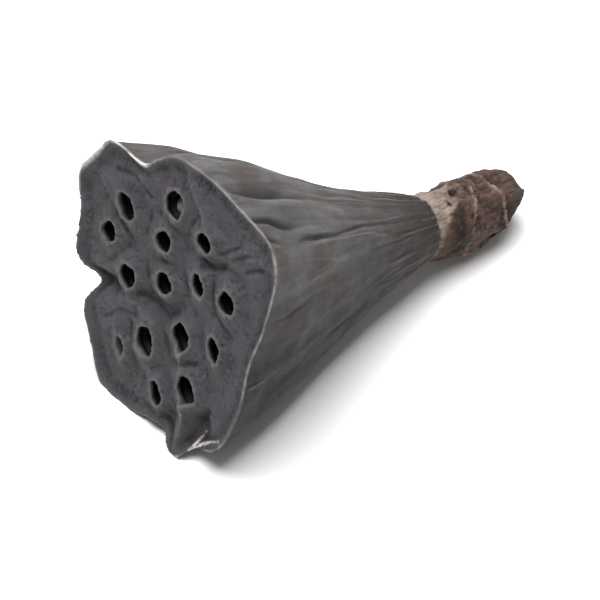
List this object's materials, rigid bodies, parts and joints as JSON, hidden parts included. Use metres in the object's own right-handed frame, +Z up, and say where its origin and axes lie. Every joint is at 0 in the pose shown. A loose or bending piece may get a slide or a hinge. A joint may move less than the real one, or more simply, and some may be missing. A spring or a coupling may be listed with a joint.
{
  "type": "dried lotus pod",
  "caption": "Dried grey lotus seed head lying on its side: a lobed cone with a flat face of seed holes, loose seeds in its chambers and a swollen brown stem stub.",
  "frame": {"origin": "below the middle of the pod's box, on the surface that it lies on", "axes": "+Z up, +X from the seed face towards the stem along the surface, +Y to the left as one looks from the face along +X"},
  "size_m": [0.1132, 0.0674, 0.066],
  "materials": {
    "pod_skin": "matte, dry and finely wrinkled",
    "stem": "matte, wrinkled bark",
    "seed": "hard and slightly waxy"
  },
  "bodies": {
    "root": {"pod": "pod_skin", "stem_stub": "stem", "seed_01": "seed", "seed_02": "seed", "seed_03": "seed", "seed_04": "seed", "seed_05": "seed", "seed_06": "seed", "seed_07": "seed", "seed_08": "seed", "seed_09": "seed", "seed_10": "seed", "seed_11": "seed", "seed_12": "seed", "seed_13": "seed", "seed_14": "seed"}
  },
  "joints": []
}
